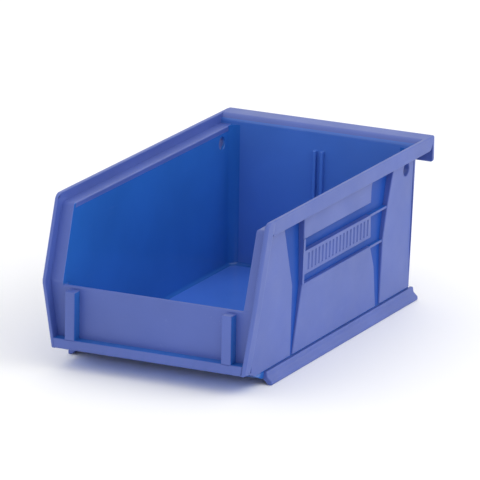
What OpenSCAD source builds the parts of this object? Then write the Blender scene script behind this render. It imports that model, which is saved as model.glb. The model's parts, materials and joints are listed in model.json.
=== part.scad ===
// Hanging parts bin with a hopper front, stacking ledges, base rails and a rear hang lip.
// The real object is one moulding. It is divided here at its named features, so each wall,
// rim, ledge, rail and rib is a closed solid that meets its neighbours face to face.
// Axes: +X right as seen from the front, -Y front, +Z up. Origin: bottom centre of the box.
// Dimensions are in millimetres.

/* [Overall size] */
// Length from the front lip to the back of the hang lip
body_l = 187.3; // [180:0.1:195]
// Width over the rim bands
body_w = 104.8; // [103:0.1:108]
// Height from the rail feet to the top of the rim
body_h = 76.2; // [75:0.1:80]

/* [Walls] */
// Thickness of the floor, back wall, front panel and rim
wall = 1.9; // [1.5:0.1:2.4]
// Height of the front lip where the slanted edge begins
lip_z = 38.7; // [34:0.1:44]
// Height of the top of the front panel
panel_z = 37.2; // [33:0.1:38]
// Set-back of the rim's front corner from the front lip
rim_setback = 12.2; // [8:0.1:16]
// Radius of the rim's front corner
rim_corner_r = 4; // [2:0.5:6]
// Underside of the front wall above the ground
front_clear = 9.1; // [8:0.1:11]

/* [Rim and stacking] */
// Height of the proud band round the rim
band_h = 6.8; // [6:0.1:8]
// Height of the stacking ledge above the ground
ledge_z = 71.7; // [71:0.1:73]
// Clearance on each side between a stacked bin's rails and the rim bands
stack_clear = 0.15; // [0.1:0.05:0.4]

/* [Hang lip] */
// Thickness of the hang lip's end plate
hook_t = 2.3; // [1.9:0.1:3]
// Depth of the hang lip's end plate
hook_h = 12.5; // [10:0.1:14]
// Gap between the back wall and the end plate
hook_gap = 8.4; // [7:0.1:9]

/* [Side details] */
// Diameter of the hole through each side wall
hole_d = 6.2; // [4:0.1:7]
// Distance of the hole in front of the back wall's inner face
hole_setback = 10.6; // [8:0.1:12]
// Height of the hole
hole_z = 64.8; // [60:0.1:65.5]
// Number of grip flutes on each side
flute_count = 18; // [8:1:22]
// Diameter of one grip flute
flute_d = 1.8; // [1.2:0.1:2.2]
// Depth of one grip flute
flute_depth = 0.6; // [0.3:0.1:0.8]

/* [Label frame] */
// Clear width between the label ribs
label_w = 72; // [66:0.5:74]
// Width of a label rib
label_rib_w = 4.8; // [3:0.1:5.5]
// Depth of the label recess
label_depth = 5.3; // [4:0.1:6]
// Height of the bar under the label
label_bar_h = 4.7; // [3:0.1:5.5]

/* [Divider ribs] */
// Gap between the two divider ribs
divider_gap = 2; // [1.6:0.1:3]
// Width of one divider rib
divider_rib_w = 1.6; // [1.2:0.1:2]
// How far the divider ribs stand out
divider_rib_d = 2; // [1.5:0.1:3]
// Height of the top of the divider ribs
divider_top_z = 65; // [50:1:68]

/* [Hidden] */
$fn = 48;
front_y = -body_l / 2;
rear_y = body_l / 2;
half_w = body_w / 2;
eps = 0.01;

// Levels
band_z = body_h - band_h;
floor_z = 5;
floor_under_z = floor_z - wall;
rail_top_z = 6;
groove_top_z = 6.8;
lip_under_z = body_h - wall;

// Half widths of the drafted faces: pairs of [x, z], low then high
rim_in_x = half_w - wall;
inner_low = [43.9, floor_z];
inner_high = [44.7, ledge_z];
pocket_low = [46.8, groove_top_z];
pocket_high = [45.9, band_z];
frame_low = [47.4, groove_top_z];
frame_high = [49, band_z];
groove_x = 46.4;

// Back wall: inner face, bottom and top
back_in_low_y = 79.8;
rear_corner_r = 3.5;
hook_y = rear_y - hook_t;
back_out_y = hook_y - hook_gap;
back_in_y = back_out_y - wall;
lip_roll_r = 3.5;

// Front wall
panel_y = front_y + label_depth;
panel_in_y = panel_y + wall;
ramp_y = -73.5;
band_low_x = 47.5;

// Front edge of the sides: front of the rim at the top, then the back of rim and ledge at both ends
corner_y = front_y + rim_setback;
edge_low_y = panel_in_y;
edge_high_y = corner_y + label_depth + wall;

// Grip slots: bottom and top of each
slot_low = [37.2, 41.5];
slot_high = [52.3, 58];
slot_front_y = -35.5;
shelf_t = 1.2;
shelf_in = 0.4;

// Grip flutes: gap to the ends of the band, and to its top and bottom
flute_end_gap = 2;
flute_side_gap = 1.5;

// Rail
rail_x = rim_in_x - stack_clear;
rail_front_y = -71.5;
rail_rear_y = 83.4;
skirt_t = 1.8;
skirt_drop = 0.4;

// x on the drafted line from low to high at height z
function at_z(low, high, z) = low[0] + (high[0] - low[0]) * (z - low[1]) / (high[1] - low[1]);
function inner_x(z) = at_z(inner_low, inner_high, z);
function frame_x(z) = at_z(frame_low, frame_high, z);
function band_x(z) = z >= lip_z ? half_w : at_z([band_low_x, front_clear], [half_w, lip_z], z);
// y of the back wall's inner face at height z
function back_y(z) = at_z([back_in_low_y, floor_z], [back_in_y, ledge_z], z);
// Underside of the ramp at the front of the floor, at length y
function ramp_z(y) = front_clear + (floor_under_z - front_clear) * (y - panel_y) / (ramp_y - panel_y);
function ramp_at(z) = panel_y + (ramp_y - panel_y) * (front_clear - z) / (front_clear - floor_under_z);
// y of the back of the front rim and front ledge at height z
function edge_y(z) = z <= lip_z ? edge_low_y : at_z([edge_low_y, lip_z], [edge_high_y, body_h], z);

// Cross-section outline of [x, z] points, extended along the length
module section(outline) {
    rotate([90, 0, 0])
        translate([0, 0, -body_l])
            linear_extrude(2 * body_l)
                polygon(outline);
}

// Side elevation outline of [y, z] points, extended from x0 to x1
module elevation(outline, x0, x1) {
    translate([x0, 0, 0])
        rotate([90, 0, 90])
            linear_extrude(x1 - x0)
                polygon(outline);
}

// A solid on the right side, from its section and its side elevation
module side_piece(xz, yz) {
    intersection() {
        section(xz);
        elevation(yz, 0, body_w);
    }
}

// What lies outside the round between the back wall's inner face and the top of the lip
module roll_waste() {
    difference() {
        translate([-half_w, back_in_y - eps, body_h - lip_roll_r])
            cube([body_w, lip_roll_r + eps, lip_roll_r + eps]);
        translate([-half_w - eps, back_in_y + lip_roll_r, body_h - lip_roll_r])
            rotate([0, 90, 0])
                cylinder(r = lip_roll_r, h = body_w + 2 * eps);
    }
}

// What lies outside the rounded rear corner of the right side, which leans with the draft
module corner_waste() {
    rise = band_z - groove_top_z;
    lean_x = atan((frame_high[0] - frame_low[0]) / rise);
    lean_y = atan((back_y(band_z) - back_y(groove_top_z)) / rise);
    low_y = back_y(groove_top_z) + wall;
    difference() {
        translate([frame_low[0] - rear_corner_r, low_y - rear_corner_r, 0])
            cube([2 * rear_corner_r, 2 * rear_corner_r, band_z]);
        translate([frame_low[0] - rear_corner_r, low_y - rear_corner_r, groove_top_z])
            rotate([-lean_y, lean_x, 0])
                translate([0, 0, -body_h])
                    cylinder(r = rear_corner_r, h = 3 * body_h);
        // Keeps the straight part of both faces where they lean outward
        translate([0, 0, -eps])
            cube([frame_low[0] - rear_corner_r + eps, rear_y, body_h]);
    }
}

// Right side for side = 1, left side for side = -1
module on_side(side) {
    if (side > 0) children();
    else mirror([1, 0, 0]) children();
}

// Section between two drafted faces
function slab(in_low, in_high, out_low, out_high, z0, z1) = [
    [at_z(in_low, in_high, z0), z0],
    [at_z(out_low, out_high, z0), z0],
    [at_z(out_low, out_high, z1), z1],
    [at_z(in_low, in_high, z1), z1]
];
frame_section = slab(pocket_low, pocket_high, frame_low, frame_high, groove_top_z, band_z);

// Edges of the two tapered pockets: [y, z] from bottom to top
front_pocket_a = [[-46.6, groove_top_z], [-47.6, 39.5], [-58.4, band_z]];
front_pocket_b = [[-44.7, groove_top_z], [-37.3, slot_low[0]], [-37.3, slot_high[1]], [-37.6, band_z]];
rear_pocket_a = [[42.7, groove_top_z], [39, 27], [34.3, slot_low[0]]];
rear_pocket_b = [[46.9, groove_top_z], [47.6, slot_low[0]], [51.2, slot_high[0]], [56.6, band_z]];
panel_rear_y = [34, 33, 32.4];
notch_r = 4.6;
notch_sweep = 75;
notch_steps = 10;

function reversed(points) = [for (i = [len(points) - 1 : -1 : 0]) points[i]];

module floor_pan() {
    color("royalblue")
        intersection() {
            elevation([
                [panel_y, front_clear],
                [ramp_y, floor_under_z],
                [back_y(floor_z), floor_under_z],
                [back_y(floor_z), floor_z],
                [ramp_y, floor_z],
                [panel_in_y, front_clear + wall],
                [panel_y, front_clear + wall]
            ], -half_w, half_w);
            section([
                [-inner_x(floor_under_z), floor_under_z],
                [inner_x(floor_under_z), floor_under_z],
                [inner_x(front_clear + wall), front_clear + wall],
                [-inner_x(front_clear + wall), front_clear + wall]
            ]);
        }
}

module back_wall() {
    color("royalblue")
        difference() {
            intersection() {
                elevation([
                    [back_y(floor_under_z), floor_under_z],
                    [back_y(floor_under_z) + wall, floor_under_z],
                    [back_out_y, ledge_z],
                    [back_out_y, lip_under_z],
                    [back_in_y, lip_under_z],
                    [back_in_y, ledge_z]
                ], -half_w, half_w);
                section([
                    [-groove_x, 0],
                    [groove_x, 0],
                    [groove_x, groove_top_z],
                    frame_low,
                    frame_high,
                    [rim_in_x, band_z],
                    [rim_in_x, body_h],
                    [-rim_in_x, body_h],
                    [-rim_in_x, band_z],
                    [-frame_high[0], band_z],
                    [-frame_low[0], groove_top_z],
                    [-groove_x, groove_top_z]
                ]);
            }
            for (side = [-1, 1])
                on_side(side) corner_waste();
            roll_waste();
        }
}

module front_panel() {
    color("royalblue")
        intersection() {
            translate([-half_w, panel_y, front_clear + wall])
                cube([body_w, wall, panel_z - front_clear - wall]);
            section([
                [-inner_x(front_clear), front_clear],
                [inner_x(front_clear), front_clear],
                [inner_x(panel_z), panel_z],
                [-inner_x(panel_z), panel_z]
            ]);
        }
}

module label_rib(side) {
    rib_top_gap = 1.4;
    color("royalblue")
        on_side(side)
            translate([label_w / 2, front_y, front_clear + label_bar_h])
                cube([label_rib_w, label_depth, panel_z - rib_top_gap - front_clear - label_bar_h]);
}

module label_bar() {
    bar_top_z = front_clear + label_bar_h;
    color("royalblue")
        intersection() {
            translate([-half_w, front_y, front_clear])
                cube([body_w, label_depth, label_bar_h]);
            section([
                [wall - band_x(front_clear), front_clear],
                [band_x(front_clear) - wall, front_clear],
                [band_x(bar_top_z) - wall, bar_top_z],
                [wall - band_x(bar_top_z), bar_top_z]
            ]);
        }
}

module divider_ribs() {
    color("royalblue")
        for (side = [-1, 1])
            on_side(side)
                intersection() {
                    elevation([
                        [back_y(floor_z) - divider_rib_d, floor_z],
                        [back_y(floor_z), floor_z],
                        [back_y(divider_top_z), divider_top_z],
                        [back_y(divider_top_z) - divider_rib_d, divider_top_z]
                    ], divider_gap / 2, divider_gap / 2 + divider_rib_w);
                    cube([half_w, rear_y, body_h]);
                }
}

module hang_lip_top() {
    color("royalblue")
        difference() {
            translate([-rim_in_x, back_in_y, lip_under_z])
                cube([2 * rim_in_x, hook_y - back_in_y, wall]);
            roll_waste();
        }
}

module hang_lip_plate() {
    color("royalblue")
        translate([-half_w, hook_y, body_h - hook_h])
            cube([body_w, hook_t, hook_h]);
}

module lip_gusset(side) {
    round_r = 3.6;
    color("royalblue")
        on_side(side)
            difference() {
                translate([rim_in_x, back_out_y, band_z])
                    cube([wall, hook_gap, band_h]);
                // The lower rear corner is rounded off, so the end plate hangs clear of it
                difference() {
                    translate([rim_in_x - eps, hook_y - round_r, band_z - eps])
                        cube([wall + 2 * eps, round_r + eps, round_r + eps]);
                    translate([0, hook_y - round_r, band_z + round_r])
                        rotate([0, 90, 0])
                            cylinder(r = round_r, h = body_w);
                }
            }
}

module wall_skin(side) {
    color("royalblue")
        on_side(side)
            difference() {
                side_piece([
                    [inner_x(floor_under_z), floor_under_z],
                    [groove_x, floor_under_z],
                    [groove_x, groove_top_z],
                    pocket_low,
                    pocket_high,
                    [inner_x(band_z), band_z]
                ], [
                    [edge_low_y, ramp_z(edge_low_y)],
                    [ramp_y, floor_under_z],
                    [back_y(floor_under_z), floor_under_z],
                    [back_y(band_z), band_z],
                    [edge_y(band_z), band_z],
                    [edge_low_y, lip_z]
                ]);
                side_hole();
            }
}

module side_hole() {
    translate([0, back_in_y - hole_setback, hole_z])
        rotate([0, 90, 0])
            cylinder(d = hole_d, h = body_w);
}

// The thin proud edge that frames the front. Its top corner is rounded.
module front_rim(side) {
    turn = atan((body_h - lip_z) / rim_setback);
    arc_steps = 10;
    arc_y = corner_y + rim_corner_r * tan(turn / 2);
    color("royalblue")
        on_side(side)
            side_piece([
                [band_low_x - wall, floor_under_z],
                [band_low_x, floor_under_z],
                [band_low_x, front_clear],
                [half_w, lip_z],
                [half_w, body_h],
                [rim_in_x, body_h],
                [rim_in_x, lip_z],
                [band_low_x - wall, front_clear]
            ], concat(
                [
                    [front_y, front_clear],
                    [panel_y, front_clear],
                    [edge_low_y, ramp_z(edge_low_y)],
                    [edge_low_y, lip_z],
                    [edge_high_y, body_h]
                ],
                [for (i = [0 : arc_steps])
                    [arc_y, body_h - rim_corner_r]
                    + rim_corner_r * [-sin(turn * i / arc_steps), cos(turn * i / arc_steps)]],
                [[front_y, lip_z]]
            ));
}

// The strip between the side wall and the rim, level with the front panel
module front_ledge(side) {
    ledge_set = at_z([panel_y, lip_z], [corner_y + label_depth, body_h], ledge_z);
    color("royalblue")
        on_side(side)
            side_piece([
                [inner_x(floor_under_z), floor_under_z],
                [band_low_x - wall, floor_under_z],
                [band_low_x - wall, front_clear],
                [rim_in_x, lip_z],
                [rim_in_x, ledge_z],
                inner_high
            ], [
                [panel_y, front_clear],
                [edge_low_y, ramp_z(edge_low_y)],
                [edge_low_y, lip_z],
                [edge_y(ledge_z), ledge_z],
                [ledge_set, ledge_z],
                [panel_y, lip_z]
            ]);
}

module rim_band(side) {
    color("royalblue")
        on_side(side)
            elevation([
                [edge_y(band_z), band_z],
                [back_out_y, band_z],
                [back_out_y, body_h],
                [edge_y(body_h), body_h]
            ], rim_in_x, half_w);
}

module stacking_ledge(side) {
    color("royalblue")
        on_side(side)
            side_piece([
                [inner_x(band_z), band_z],
                [rim_in_x, band_z],
                [rim_in_x, ledge_z],
                inner_high
            ], [
                [edge_y(band_z), band_z],
                [back_y(band_z), band_z],
                [back_in_y, ledge_z],
                [edge_y(ledge_z), ledge_z]
            ]);
}

module front_stile(side) {
    color("royalblue")
        on_side(side)
            side_piece(frame_section, concat(
                [[edge_low_y, ramp_z(edge_low_y)], [ramp_at(groove_top_z), groove_top_z]],
                front_pocket_a,
                [[edge_y(band_z), band_z], [edge_low_y, lip_z]]
            ));
}

// Panel over the slots. Its rear edge rounds out into the underside of the rim band.
module upper_panel(side) {
    rear_low = [panel_rear_y[1], slot_high[1]];
    rear_high = [panel_rear_y[2], band_z];
    round_y = at_z(rear_low, rear_high, band_z - notch_r) + notch_r;
    color("royalblue")
        on_side(side)
            side_piece(frame_section, concat(
                [[front_pocket_b[3][0], band_z], [front_pocket_b[2][0], slot_high[1]], rear_low],
                [for (i = [0 : notch_steps])
                    [round_y, band_z - notch_r]
                    + notch_r * [-cos(notch_sweep * i / notch_steps), sin(notch_sweep * i / notch_steps)]],
                [[round_y - notch_r * cos(notch_sweep), band_z]]
            ));
}

module grip_band(side) {
    flute_pitch = (panel_rear_y[0] - slot_front_y - 2 * flute_end_gap) / flute_count;
    flute_h = slot_high[0] - slot_low[1] - 2 * flute_side_gap;
    color("royalblue")
        on_side(side) {
            difference() {
                side_piece(frame_section, [
                    [slot_front_y, slot_low[1]],
                    [panel_rear_y[0], slot_low[1]],
                    [panel_rear_y[1], slot_high[0]],
                    [slot_front_y, slot_high[0]]
                ]);
                for (i = [0 : flute_count - 1])
                    translate([
                        frame_x((slot_high[0] + slot_low[1]) / 2) + flute_d / 2 - flute_depth,
                        slot_front_y + flute_end_gap + (i + 0.5) * flute_pitch,
                        slot_low[1] + flute_side_gap
                    ])
                        cylinder(d = flute_d, h = flute_h);
            }
            // Upright between the front pocket and the slots
            side_piece(frame_section, [
                [front_pocket_b[1][0], slot_low[0]],
                [slot_front_y, slot_low[0]],
                [slot_front_y, slot_high[1]],
                [front_pocket_b[2][0], slot_high[1]]
            ]);
        }
}

module lower_panel(side) {
    color("royalblue")
        on_side(side)
            side_piece(frame_section, concat(
                [front_pocket_b[0]],
                rear_pocket_a,
                [front_pocket_b[1]]
            ));
}

module rear_stile(side) {
    color("royalblue")
        on_side(side)
            difference() {
                side_piece(frame_section, concat(
                    rear_pocket_b,
                    [[back_y(band_z), band_z], [back_y(groove_top_z), groove_top_z]]
                ));
                side_hole();
                corner_waste();
            }
}

module pocket_shelves(side) {
    low_shelf_z = slot_low[0] - shelf_t;
    high_shelf_z = slot_high[0] - shelf_t;
    band_rear_low = [panel_rear_y[0], slot_low[1]];
    band_rear_high = [panel_rear_y[1], slot_high[0]];
    color("royalblue")
        on_side(side)
            intersection() {
                section(slab(
                    pocket_low, pocket_high,
                    [frame_low[0] - shelf_in, frame_low[1]], [frame_high[0] - shelf_in, frame_high[1]],
                    groove_top_z, band_z
                ));
                union() {
                    elevation([
                        [at_z(rear_pocket_a[1], rear_pocket_a[2], low_shelf_z), low_shelf_z],
                        [at_z(rear_pocket_b[0], rear_pocket_b[1], low_shelf_z), low_shelf_z],
                        rear_pocket_b[1],
                        rear_pocket_a[2]
                    ], 0, body_w);
                    elevation([
                        [at_z(band_rear_low, band_rear_high, high_shelf_z), high_shelf_z],
                        [at_z(rear_pocket_b[1], rear_pocket_b[2], high_shelf_z), high_shelf_z],
                        rear_pocket_b[2],
                        band_rear_high
                    ], 0, body_w);
                }
            }
}

module base_rail(side) {
    root_x = 47.9;
    knee = [48.2, 3.6];
    color("royalblue")
        on_side(side)
            side_piece([
                [inner_x(floor_under_z), floor_under_z],
                [inner_x(floor_under_z) + skirt_t, floor_under_z - skirt_drop],
                [rail_x - skirt_t, 0],
                [rail_x, 0],
                [rail_x, skirt_t],
                knee,
                [root_x, rail_top_z],
                [groove_x, rail_top_z],
                [groove_x, floor_under_z]
            ], [
                [rail_front_y, 0],
                [rail_rear_y, 0],
                [rail_rear_y, rail_top_z],
                [rail_front_y, rail_top_z]
            ]);
}

floor_pan();
back_wall();
front_panel();
label_rib(-1);  // label_rib_left
label_rib(1);  // label_rib_right
label_bar();
divider_ribs();
hang_lip_top();
hang_lip_plate();
wall_skin(-1);  // left_wall_skin
wall_skin(1);  // right_wall_skin
front_rim(-1);  // left_front_rim
front_rim(1);  // right_front_rim
front_ledge(-1);  // left_front_ledge
front_ledge(1);  // right_front_ledge
rim_band(-1);  // left_rim_band
rim_band(1);  // right_rim_band
stacking_ledge(-1);  // left_stacking_ledge
stacking_ledge(1);  // right_stacking_ledge
front_stile(-1);  // left_front_stile
front_stile(1);  // right_front_stile
upper_panel(-1);  // left_upper_panel
upper_panel(1);  // right_upper_panel
grip_band(-1);  // left_grip_band
grip_band(1);  // right_grip_band
lower_panel(-1);  // left_lower_panel
lower_panel(1);  // right_lower_panel
rear_stile(-1);  // left_rear_stile
rear_stile(1);  // right_rear_stile
pocket_shelves(-1);  // left_pocket_shelves
pocket_shelves(1);  // right_pocket_shelves
base_rail(-1);  // left_base_rail
base_rail(1);  // right_base_rail
lip_gusset(-1);  // left_lip_gusset
lip_gusset(1);  // right_lip_gusset
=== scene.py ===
"""Looks of the hanging parts bin: one blue moulding, finished piece by piece round the CAD frame."""

import json
import math

import bmesh
import bpy
from mathutils import Matrix, Vector
from mathutils.bvhtree import BVHTree


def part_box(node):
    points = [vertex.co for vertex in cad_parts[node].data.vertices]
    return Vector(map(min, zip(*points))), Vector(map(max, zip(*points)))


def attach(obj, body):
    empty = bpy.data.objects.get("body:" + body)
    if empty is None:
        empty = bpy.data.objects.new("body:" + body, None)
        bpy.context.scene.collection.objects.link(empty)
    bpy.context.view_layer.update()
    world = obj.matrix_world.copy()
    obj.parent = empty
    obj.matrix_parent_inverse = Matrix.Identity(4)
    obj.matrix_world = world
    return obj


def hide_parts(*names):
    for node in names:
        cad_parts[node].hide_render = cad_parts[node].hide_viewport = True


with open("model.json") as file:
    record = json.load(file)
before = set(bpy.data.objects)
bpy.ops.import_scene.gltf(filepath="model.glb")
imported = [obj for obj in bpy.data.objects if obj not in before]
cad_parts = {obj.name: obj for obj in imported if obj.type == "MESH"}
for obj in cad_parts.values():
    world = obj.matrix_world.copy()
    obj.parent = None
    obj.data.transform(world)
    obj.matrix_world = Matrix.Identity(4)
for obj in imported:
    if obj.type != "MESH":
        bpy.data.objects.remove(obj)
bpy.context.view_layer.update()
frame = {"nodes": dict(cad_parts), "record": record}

MM = 0.001

# ---------------------------------------------------------------- sizes of the part
# Read from the frame
floor_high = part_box("floor_pan")[1]
panel_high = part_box("front_panel")[1]
rail_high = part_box("right_base_rail")[1]
plate_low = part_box("hang_lip_plate")[0]
ledge_low, ledge_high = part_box("right_stacking_ledge")

LEDGE_Z = ledge_high.z
BAND_Z = ledge_low.z
BACK_HIGH_Y = ledge_high.y
# Just above the groove that runs over the base rail
GROOVE_Z = rail_high.z + 1.0 * MM

# The CAD's inner faces of the cavity, which lean with the draft: low at the floor, high at the ledge
FLOOR_Z = 5.0 * MM
RAMP_Y = -73.5 * MM
INNER_LOW_X = 43.9 * MM
INNER_HIGH_X = 44.7 * MM
BACK_LOW_Y = 79.8 * MM

# Fillets inside the bin
CORNER_R = 4.0 * MM
FLOOR_R = 1.5 * MM
FILLET_STEPS = 8
# How far the hidden side of a fillet runs into the walls and the floor
FLOOR_FILLET_ROOT = 0.5 * MM
CORNER_FILLET_ROOT = 0.3 * MM
# Gap between the top of a front corner's fillet and the top of the front panel
FRONT_FILLET_GAP = 0.4 * MM


def drafted(low, high, z):
    """A place that goes from low at the floor to high at the ledge, at height z."""
    return low + (high - low) * (z - FLOOR_Z) / (LEDGE_Z - FLOOR_Z)


def inner_x(z):
    """Half width between the side walls' inner faces at height z."""
    return drafted(INNER_LOW_X, INNER_HIGH_X, z)


def back_y(z):
    """Place of the back wall's inner face at height z."""
    return drafted(BACK_LOW_Y, BACK_HIGH_Y, z)


def floor_top(y):
    """Height of the floor inside the bin, which ramps up behind the front panel."""
    if y > RAMP_Y:
        return FLOOR_Z
    return FLOOR_Z + (floor_high.z - FLOOR_Z) * (RAMP_Y - y) / (RAMP_Y - panel_high.y)


# ---------------------------------------------------------------- materials
# Scales of the noises are in cycles a metre. A span is the part of a noise over which a look changes.
DRIFT_SCALE = 22.0
DRIFT_DETAIL = 3.0
DRIFT_SPAN = (0.35, 0.65)
DRIFT_DEEP = 0.93
DRIFT_PALE = 1.06
SCUFF_STRETCH = (900.0, 60.0, 700.0)
SCUFF_HAIR_SPAN = (0.66, 0.74)
SCUFF_PATCH_SCALE = 55.0
SCUFF_PATCH_SPAN = (0.52, 0.66)
SCUFF_COLOUR = (0.16, 0.22, 0.52, 1.0)
POLISH_SCALE = 75.0
POLISH_DETAIL = 3.0
POLISH_SPAN = (0.3, 0.7)
POLISH_RANGE = 0.05
GRAIN_DEPTH = 0.05 * MM
SINK_SCALE = 38.0
SINK_STRENGTH = 0.25
SINK_DEPTH = 0.12 * MM


def node_of(tree, kind, **values):
    """A shader node with its sockets or properties set."""
    made = tree.nodes.new(kind)
    for name, value in values.items():
        socket = name.replace("_", " ")
        if socket in made.inputs:
            made.inputs[socket].default_value = value
        else:
            setattr(made, name, value)
    return made


def noise(tree, coords, scale, detail=2.0):
    """Noise factor over the coordinates."""
    made = node_of(tree, "ShaderNodeTexNoise", Scale=scale, Detail=detail)
    tree.links.new(coords, made.inputs["Vector"])
    return made.outputs["Fac"]


def ramp(tree, factor, span, low, high):
    """A colour ramp from low to high over a span of the factor."""
    made = tree.nodes.new("ShaderNodeValToRGB")
    for element, place, colour in zip(made.color_ramp.elements, span, (low, high)):
        element.position = place
        element.color = colour
    tree.links.new(factor, made.inputs["Fac"])
    return made.outputs["Color"]


def grey(value):
    """An opaque grey."""
    return (value, value, value, 1.0)


def scuff_mask(tree, coords, strength):
    """Where the scuffs are: hairlines stretched along the bin, in patches of the given strength."""
    stretch = node_of(tree, "ShaderNodeMapping")
    stretch.inputs["Scale"].default_value = SCUFF_STRETCH
    tree.links.new(coords, stretch.inputs["Vector"])
    hair = noise(tree, stretch.outputs["Vector"], scale=1.0, detail=1.0)
    patches = noise(tree, coords, SCUFF_PATCH_SCALE)
    hair_mask = ramp(tree, hair, SCUFF_HAIR_SPAN, grey(0.0), grey(1.0))
    patch_mask = ramp(tree, patches, SCUFF_PATCH_SPAN, grey(0.0), grey(strength))
    mask = node_of(tree, "ShaderNodeMath", operation="MULTIPLY")
    tree.links.new(hair_mask, mask.inputs[0])
    tree.links.new(patch_mask, mask.inputs[1])
    return mask.outputs[0]


def surface_bump(tree, coords, grain_scale, grain):
    """Normals with the mould's fine grain and the slight waviness of a thin moulded wall."""
    fine_bump = node_of(tree, "ShaderNodeBump", Strength=grain, Distance=GRAIN_DEPTH)
    tree.links.new(noise(tree, coords, grain_scale), fine_bump.inputs["Height"])
    sink_bump = node_of(tree, "ShaderNodeBump", Strength=SINK_STRENGTH, Distance=SINK_DEPTH)
    tree.links.new(noise(tree, coords, SINK_SCALE, detail=1.0), sink_bump.inputs["Height"])
    tree.links.new(fine_bump.outputs["Normal"], sink_bump.inputs["Normal"])
    return sink_bump.outputs["Normal"]


def plastic(name, colour, roughness, ior, grain_scale, grain, scuffs):
    """Moulded plastic: slow colour drift, mould grain, and faint handling scuffs."""
    material = bpy.data.materials.new(name)
    material.use_nodes = True
    tree = material.node_tree
    links = tree.links
    shader = tree.nodes["Principled BSDF"]
    shader.inputs["IOR"].default_value = ior
    coords = node_of(tree, "ShaderNodeTexCoord").outputs["Object"]

    # Slow drift in the pigment, and scuffs over it
    deep = tuple(c * DRIFT_DEEP for c in colour) + (1.0,)
    pale = tuple(c * DRIFT_PALE for c in colour) + (1.0,)
    base = ramp(tree, noise(tree, coords, DRIFT_SCALE, DRIFT_DETAIL), DRIFT_SPAN, deep, pale)
    mix = node_of(tree, "ShaderNodeMix", data_type="RGBA")
    links.new(scuff_mask(tree, coords, scuffs), mix.inputs["Factor"])
    links.new(base, mix.inputs["A"])
    mix.inputs["B"].default_value = SCUFF_COLOUR
    links.new(mix.outputs["Result"], shader.inputs["Base Color"])

    # Roughness varies with handling
    smoother = grey(roughness - POLISH_RANGE)
    rougher = grey(roughness + POLISH_RANGE)
    polish = noise(tree, coords, POLISH_SCALE, POLISH_DETAIL)
    rough = ramp(tree, polish, POLISH_SPAN, smoother, rougher)
    links.new(rough, shader.inputs["Roughness"])

    links.new(surface_bump(tree, coords, grain_scale, grain), shader.inputs["Normal"])
    return material


FINISHES = {
    "satin": plastic(
        "satin_blue_plastic", (0.062, 0.108, 0.40),
        roughness=0.45, ior=1.60, grain_scale=2600.0, grain=0.4, scuffs=0.20,
    ),
    "inside": plastic(
        "polished_blue_plastic", (0.022, 0.128, 0.48),
        roughness=0.10, ior=1.49, grain_scale=1500.0, grain=0.06, scuffs=0.06,
    ),
    # Painted light: the polished inside plastic made paler for the back wall, the divider ribs and
    # the lip's roll, as if lit from the front
    "rear": plastic(
        "painted_light_rear_plastic", (0.060, 0.168, 0.56),
        roughness=0.22, ior=1.49, grain_scale=1500.0, grain=0.10, scuffs=0.06,
    ),
    # Painted light: the polished inside plastic made paler and brighter for the floor, as if lit from
    # above
    "floor": plastic(
        "painted_light_floor_plastic", (0.072, 0.205, 0.72),
        roughness=0.22, ior=1.49, grain_scale=1500.0, grain=0.10, scuffs=0.06,
    ),
    # Painted shade: a darker, less reflective copy of the plastic for the pockets and slots, so that
    # they read as deep
    "recess": plastic(
        "painted_shade_recess_plastic", (0.014, 0.072, 0.37),
        roughness=0.35, ior=1.18, grain_scale=1500.0, grain=0.2, scuffs=0.0,
    ),
}
# A piece's own finish goes by its slot, except where its family has one. The back wall's, divider
# ribs' and floor's family finishes are paler copies of the polished inside plastic: painted light
FINISH_OF_SLOT = {"satin_blue": "satin", "polished_blue": "inside"}
FINISH_OF_FAMILY = {"back_wall": "rear", "floor_pan": "floor", "divider_ribs": "rear"}
SLOT_OF_NODE = {row["node"]: row["material_slot"] for row in frame["record"]["subparts"]}


# ---------------------------------------------------------------- finished pieces from CAD nodes
WELD = 0.002 * MM
FLAT_ANGLE = math.radians(0.4)
SHARP_ANGLE = math.radians(8)
# Any direction that doesn't run along the faces
PROBE = Vector((0.2931, 0.5127, 0.8069)).normalized()
PROBE_STEP = 0.001 * MM
# Where and how far off an edge its surroundings are tested for a neighbour
EDGE_SAMPLES = (0.2, 0.5, 0.8)
OFF_FACE = 0.04 * MM
OFF_EDGE = 0.12 * MM


def family(node):
    """The node's name without its side."""
    for side in ("left", "right"):
        node = node.removeprefix(side + "_").removesuffix("_" + side)
    return node


def clean_bmesh(node):
    """The CAD node's solid as flat polygons, welded."""
    made = bmesh.new()
    made.from_mesh(frame["nodes"][node].data)
    bmesh.ops.remove_doubles(made, verts=made.verts, dist=WELD)
    bmesh.ops.dissolve_limit(made, angle_limit=FLAT_ANGLE, verts=made.verts, edges=made.edges)
    bmesh.ops.recalc_face_normals(made, faces=made.faces)
    made.normal_update()
    return made


SOLIDS = {node: clean_bmesh(node) for node in frame["nodes"]}
TREES = {node: BVHTree.FromBMesh(solid) for node, solid in SOLIDS.items()}
BOXES = {node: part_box(node) for node in SOLIDS}


def inside(node, point):
    """True if point lies in the node's solid, by counting the faces a ray crosses."""
    low, high = BOXES[node]
    if any(point[i] < low[i] or point[i] > high[i] for i in range(3)):
        return False
    hits = 0
    start = point.copy()
    while True:
        place, _, _, _ = TREES[node].ray_cast(start, PROBE)
        if place is None:
            return hits % 2 == 1
        hits += 1
        start = place + PROBE * PROBE_STEP


def covered(node, point):
    """True if another node's solid holds the point."""
    return any(inside(other, point) for other in SOLIDS if other != node)


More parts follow.
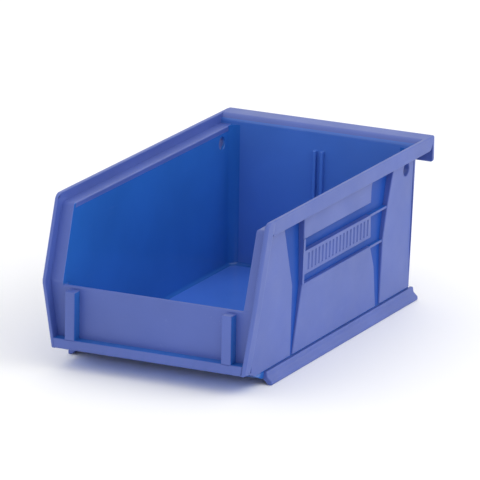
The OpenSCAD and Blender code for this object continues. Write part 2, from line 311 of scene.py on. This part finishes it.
def edge_is_free(node, edge):
    """True if no neighbouring solid meets this edge, or a face of it close to the edge."""
    first, second = (face.normal for face in edge.link_faces)
    along = (edge.verts[1].co - edge.verts[0].co).normalized()
    for place in EDGE_SAMPLES:
        point = edge.verts[0].co.lerp(edge.verts[1].co, place)
        for face in edge.link_faces:
            inward = face.normal.cross(along)
            if inward.dot(face.calc_center_median() - point) < 0:
                inward.negate()
            if covered(node, point + face.normal * OFF_FACE + inward * OFF_EDGE):
                return False
        if covered(node, point + (first + second) * OFF_FACE):
            return False
    return True


# Radii in millimetres of the moulded rounds, for the families that have one radius all over.
# Those that edge_radius doesn't name, and aren't in the table, have DEFAULT_RADIUS.
DEFAULT_RADIUS = 0.5
RADIUS_OF = {
    "label_rib": 0.6,
    "stacking_ledge": 0.6,
    "front_panel": 0.8,
    "wall_skin": 0.3,
    "floor_pan": 0.3,
    "pocket_shelves": 0.25,
    "back_wall": 0.0,
}
# Edges shorter than this belong to an arc or to the end of a piece
SHORT_EDGE = 3.0 * MM


def rim_radius(middle, normals, across):
    """Radius in millimetres of the moulded round on a front rim's edge."""
    outside = any(abs(normal.x) > 0.7 and normal.x * middle.x > 0 for normal in normals)
    if across:
        return 1.0
    if outside and any(normal.y > 0.5 for normal in normals):
        return 1.5
    # The outer round narrows from the front edge, round the corner, to the top
    facing_front = max(0.0, *(-normal.y for normal in normals))
    return 0.5 + 0.8 * facing_front if outside else 0.45


def edge_radius(node, edge):
    """Radius in millimetres of the moulded round on an edge, by what the edge is."""
    kind = family(node)
    middle = (edge.verts[0].co + edge.verts[1].co) / 2
    along = (edge.verts[1].co - edge.verts[0].co).normalized()
    normals = [face.normal for face in edge.link_faces]
    across = abs(along.x) > 0.9
    on_top = any(normal.z > 0.7 for normal in normals)
    short = edge.calc_length() < SHORT_EDGE
    if kind == "front_rim":
        return rim_radius(middle, normals, across)
    if kind == "front_ledge":
        return 1.6 if across and on_top else 0.6
    if kind == "hang_lip_plate":
        return 1.6 if abs(along.y) > 0.9 and middle.z < plate_low.z + MM else 0.9
    if kind == "label_bar":
        return 0.8 if on_top else 1.2
    if kind == "grip_band":
        return 0.3 if abs(along.z) < 0.5 and not short else 0.0
    if kind == "upper_panel" and short:
        return 0.0
    return RADIUS_OF.get(kind, DEFAULT_RADIUS)


def faces_in(centre, normal):
    """A face of a side piece that looks into the bin below the ledge."""
    near_cavity = abs(centre.x) < INNER_HIGH_X + 0.3 * MM
    return near_cavity and centre.x * normal.x < 0 and abs(normal.x) > 0.7


def faces_out(centre, normal):
    """A face that looks away from the middle of the bin."""
    return centre.x * normal.x > 0 and abs(normal.x) > 0.4


def shaded_pocket_faces(centre, normal):
    """A face of a side's skin that shows in its pockets and slots, where the recess finish paints
    shade.
    """
    return faces_out(centre, normal) and centre.z > GROOVE_Z


# The second finish of each family that has one, and which of its faces have it
SECOND_FINISH = {
    "front_ledge": ("inside", faces_in),
    "front_panel": ("inside", lambda centre, normal: normal.y > 0.5),
    "back_wall": ("satin", lambda centre, normal: normal.y > 0.4 or faces_out(centre, normal)),
    # Painted light: the lip's roll takes the paler rear copy of the polished plastic
    "hang_lip_top": ("rear", lambda centre, normal: normal.z < 0.45),
    "floor_pan": ("satin", lambda centre, normal: normal.y < -0.5),
    # Painted shade: the skin's faces in the pockets and slots take the darker recess finish
    "wall_skin": ("recess", shaded_pocket_faces),
    "pocket_shelves": ("satin", faces_out),
    # Painted shade: the darker polished finish on the label ribs' sides and the label bar's top
    # paints the shade lines in the label recess
    "label_rib": ("inside", lambda centre, normal: abs(normal.x) > 0.9),
    "label_bar": ("inside", lambda centre, normal: normal.z > 0.9),
}


def paint_faces(mesh, node):
    """Gives some faces of a piece its second finish."""
    if family(node) not in SECOND_FINISH:
        return
    finish, chosen = SECOND_FINISH[family(node)]
    mesh.materials.append(FINISHES[finish])
    for face in mesh.polygons:
        if chosen(face.center, face.normal):
            face.material_index = 1


def finish_piece(mesh, name, node_names, slot):
    """Links a mesh as a piece on the root body, with its finish."""
    piece = bpy.data.objects.new(name, mesh)
    bpy.context.collection.objects.link(piece)
    mesh.materials.clear()
    finish = FINISH_OF_SLOT[slot]
    for node in node_names:
        finish = FINISH_OF_FAMILY.get(family(node), finish)
    mesh.materials.append(FINISHES[finish])
    for node in node_names:
        paint_faces(mesh, node)
    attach(piece, "root")
    if node_names:
        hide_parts(*node_names)
    return piece


def smooth_by_angle(mesh, degrees):
    """Smooth shading that keeps edges sharper than the angle."""
    work = bmesh.new()
    work.from_mesh(mesh)
    for face in work.faces:
        face.smooth = True
    for edge in work.edges:
        edge.smooth = edge.is_manifold and edge.calc_face_angle(0.0) < math.radians(degrees)
    work.to_mesh(mesh)
    work.free()


def applied(mesh, add_modifiers):
    """The mesh with modifiers applied."""
    holder = bpy.data.objects.new("holder", mesh)
    bpy.context.collection.objects.link(holder)
    add_modifiers(holder)
    graph = bpy.context.evaluated_depsgraph_get()
    result = bpy.data.meshes.new_from_object(holder.evaluated_get(graph))
    bpy.data.objects.remove(holder)
    return result


# Radius in millimetres of a bevel weight of 1
BEVEL_MAX = 2.0
BEVEL_SEGMENTS = 4
MOULDED_SMOOTH = 34.0
FILLET_SMOOTH = 40.0


def moulded(node):
    """The CAD node with every free edge rounded as the mould rounds it."""
    work = SOLIDS[node].copy()
    if family(node) == "front_rim":
        # Its rear edge is free below the rim band and joined above it, so it is cut there
        everything = [*work.verts, *work.edges, *work.faces]
        bmesh.ops.bisect_plane(work, geom=everything, plane_co=(0, 0, BAND_Z), plane_no=(0, 0, 1))
    weight = work.edges.layers.float.new("bevel_weight_edge")
    for edge in work.edges:
        if len(edge.link_faces) != 2 or edge.calc_face_angle(0.0) < SHARP_ANGLE:
            continue
        radius = edge_radius(node, edge)
        if radius and edge_is_free(node, edge):
            edge[weight] = radius / BEVEL_MAX
    mesh = bpy.data.meshes.new(node + "_moulded")
    work.to_mesh(mesh)
    work.free()

    def rounds(holder):
        bevel = holder.modifiers.new("rounds", "BEVEL")
        bevel.limit_method = "WEIGHT"
        bevel.width = BEVEL_MAX * MM
        bevel.segments = BEVEL_SEGMENTS
        bevel.use_clamp_overlap = False
        bevel.miter_outer = "MITER_ARC"

    mesh = applied(mesh, rounds)
    smooth_by_angle(mesh, MOULDED_SMOOTH)

    def weighted(holder):
        normals = holder.modifiers.new("normals", "WEIGHTED_NORMAL")
        normals.keep_sharp = True

    mesh = applied(mesh, weighted)
    return finish_piece(mesh, "moulded_" + node, [node], SLOT_OF_NODE[node])


for node_name in list(frame["nodes"]):
    moulded(node_name)


# ---------------------------------------------------------------- fillets inside the bin
# Each corner of the cavity's plan as (side, end), with the angle at which its round starts
QUADRANTS = {(1, 1): 0.0, (-1, 1): 90.0, (-1, -1): 180.0, (1, -1): 270.0}


def corner_angles(sx, sy):
    """Angles round one corner of the plan, anticlockwise."""
    start = QUADRANTS[sx, sy]
    return [math.radians(start + 90.0 * step / FILLET_STEPS) for step in range(FILLET_STEPS + 1)]


def end_y(sy, z):
    """Place of the inner face of the back wall, or of the front panel, at height z."""
    return back_y(z) if sy > 0 else panel_high.y


def outline_point(sx, sy, angle, z, inset):
    """A point on the cavity's outline at height z, moved in by inset."""
    radius = CORNER_R - inset
    centre_x = sx * (inner_x(z) - CORNER_R)
    centre_y = end_y(sy, z) - sy * CORNER_R
    return centre_x + radius * math.cos(angle), centre_y + radius * math.sin(angle)


def floor_stations():
    """Places round the plan where the floor fillet has a section, as (side, end, angle)."""
    corners = list(QUADRANTS)
    stations = []
    for (sx, sy), (next_sx, _) in zip(corners, corners[1:] + corners[:1]):
        stations += [(sx, sy, angle) for angle in corner_angles(sx, sy)]
        if sx == next_sx:
            # On the side, where the floor starts to ramp up
            stations.append((sx, 0, None))
    return stations


def floor_section(sx, sy, angle):
    """The floor fillet's section at a station, closed under the wall and the floor."""
    ring = []
    for step in range(FILLET_STEPS + 1):
        turn = math.pi / 2 * step / FILLET_STEPS
        inset = FLOOR_R * (1 - math.cos(turn))
        lift = FLOOR_R * (1 - math.sin(turn))
        z = FLOOR_Z + lift
        if sy:
            x, y = outline_point(sx, sy, angle, z, inset)
            ring.append(Vector((x, y, floor_top(y) + lift)))
        else:
            ring.append(Vector((sx * (inner_x(z) - inset), RAMP_Y, z)))
    top, bottom = ring[0], ring[-1]
    down = Vector((0, 0, -FLOOR_FILLET_ROOT))
    out = Vector((top.x - bottom.x, top.y - bottom.y, 0)).normalized() * FLOOR_FILLET_ROOT
    return ring + [bottom + down, Vector((top.x, top.y, bottom.z)) + down + out, top + out]


def corner_section(sx, sy, z):
    """The outline at height z of the round in one corner, closed inside the walls."""
    to_side = Vector((sx * CORNER_FILLET_ROOT, 0, 0))
    to_end = Vector((0, sy * CORNER_FILLET_ROOT, 0))
    starts_on_side = QUADRANTS[sx, sy] % 180 == 0
    before, after = (to_side, to_end) if starts_on_side else (to_end, to_side)
    arc = [Vector((*outline_point(sx, sy, angle, z, 0.0), z)) for angle in corner_angles(sx, sy)]
    corner = Vector((sx * inner_x(z), end_y(sy, z), z)) + to_side + to_end
    return arc + [arc[-1] + after, corner, arc[0] + before]


def join_rings(work, first, second):
    """Faces between two rings of as many vertices."""
    for i in range(len(first)):
        j = (i + 1) % len(first)
        work.faces.new((first[i], second[i], second[j], first[j]))


def fillet_piece(work, name):
    """The finished piece from a fillet's faces."""
    bmesh.ops.recalc_face_normals(work, faces=work.faces)
    mesh = bpy.data.meshes.new(name)
    work.to_mesh(mesh)
    work.free()
    smooth_by_angle(mesh, FILLET_SMOOTH)
    return finish_piece(mesh, name, [], "polished_blue")


def floor_fillet():
    """The round between the floor and the walls, as one closed ring."""
    work = bmesh.new()
    rings = [[work.verts.new(point) for point in floor_section(*place)] for place in floor_stations()]
    for ring, following in zip(rings, rings[1:] + rings[:1]):
        join_rings(work, ring, following)
    return fillet_piece(work, "floor_fillet")


def corner_fillet(name, sx, sy, z0, z1):
    """The upright round in one corner of the bin."""
    work = bmesh.new()
    low, high = ([work.verts.new(point) for point in corner_section(sx, sy, z)] for z in (z0, z1))
    join_rings(work, low, high)
    work.faces.new(list(reversed(low)))
    work.faces.new(high)
    return fillet_piece(work, name)


floor_fillet()
SIDES = {"left": -1, "right": 1}
for side_name, side_sign in SIDES.items():
    corner_fillet("corner_fillet_rear_" + side_name, side_sign, 1, FLOOR_Z + FLOOR_R, LEDGE_Z)
for side_name, side_sign in SIDES.items():
    corner_fillet(
        "corner_fillet_front_" + side_name, side_sign, -1,
        floor_high.z + FLOOR_R, panel_high.z - FRONT_FILLET_GAP,
    )


# ---------------------------------------------------------------- stage, light and camera
STAGE_HALF_SIZE = 6.0
STAGE_COLOUR = (0.97, 0.97, 0.975, 1.0)
STAGE_ROUGHNESS = 0.7
WHITE = (1.0, 1.0, 1.0, 1.0)
SENSOR_WIDTH = 36.0
CLIP_RANGE = (0.1, 50.0)


def stage_floor():
    """The pale floor that the bin stands on."""
    half = STAGE_HALF_SIZE
    corners = [(-half, -half, 0), (half, -half, 0), (half, half, 0), (-half, half, 0)]
    mesh = bpy.data.meshes.new("stage_floor")
    mesh.from_pydata(corners, [], [(0, 1, 2, 3)])
    floor = bpy.data.objects.new("stage_floor", mesh)
    bpy.context.collection.objects.link(floor)
    material = bpy.data.materials.new("pale_floor")
    material.use_nodes = True
    shader = material.node_tree.nodes["Principled BSDF"]
    shader.inputs["Base Color"].default_value = STAGE_COLOUR
    shader.inputs["Roughness"].default_value = STAGE_ROUGHNESS
    mesh.materials.append(material)


def area_light(name, place, aim, size, power):
    """A white rectangular light at a place, turned to the point that it aims at."""
    light = bpy.data.lights.new(name, "AREA")
    light.shape = "RECTANGLE"
    light.size, light.size_y = size
    light.energy = power
    lamp = bpy.data.objects.new(name, light)
    lamp.location = place
    lamp.rotation_mode = "QUATERNION"
    lamp.rotation_quaternion = (Vector(aim) - Vector(place)).to_track_quat("-Z", "Y")
    bpy.context.collection.objects.link(lamp)


def world_light(strength):
    """Even white light from all round."""
    world = bpy.data.worlds.new("studio")
    world.use_nodes = True
    background = world.node_tree.nodes["Background"]
    background.inputs["Color"].default_value = WHITE
    background.inputs["Strength"].default_value = strength
    bpy.context.scene.world = world


def camera(azimuth, elevation, roll, distance, lens, shift, target):
    """A long lens turned round the target. Angles in degrees, lens in mm, shift in frame widths."""
    data = bpy.data.cameras.new("camera")
    data.sensor_width = SENSOR_WIDTH
    data.lens = lens
    data.shift_x, data.shift_y = shift
    data.clip_start, data.clip_end = CLIP_RANGE
    made = bpy.data.objects.new("camera", data)
    a, e, r = (math.radians(angle) for angle in (azimuth, elevation, roll))
    back = Vector((math.sin(a) * math.cos(e), -math.cos(a) * math.cos(e), math.sin(e)))
    right = (-back).cross(Vector((0, 0, 1))).normalized()
    up = right.cross(-back)
    right_r = math.cos(r) * right + math.sin(r) * up
    up_r = math.cos(r) * up - math.sin(r) * right
    turn = Matrix((right_r, up_r, back)).transposed()
    made.rotation_mode = "QUATERNION"
    made.rotation_quaternion = turn.to_quaternion()
    made.location = Vector(target) + back * distance
    bpy.context.collection.objects.link(made)
    bpy.context.scene.camera = made


stage_floor()
world_light(strength=1.05)
area_light("key_right", place=(0.75, 0.15, 0.75), aim=(0, 0, 0.04), size=(0.5, 0.5), power=2.0)
camera(
    azimuth=25.72, elevation=15.74, roll=0.96, distance=2.8835,
    lens=480.645, shift=(-0.002604, 0.017521), target=(0, 0, 0.0381),
)
bpy.context.scene.view_settings.view_transform = "Standard"
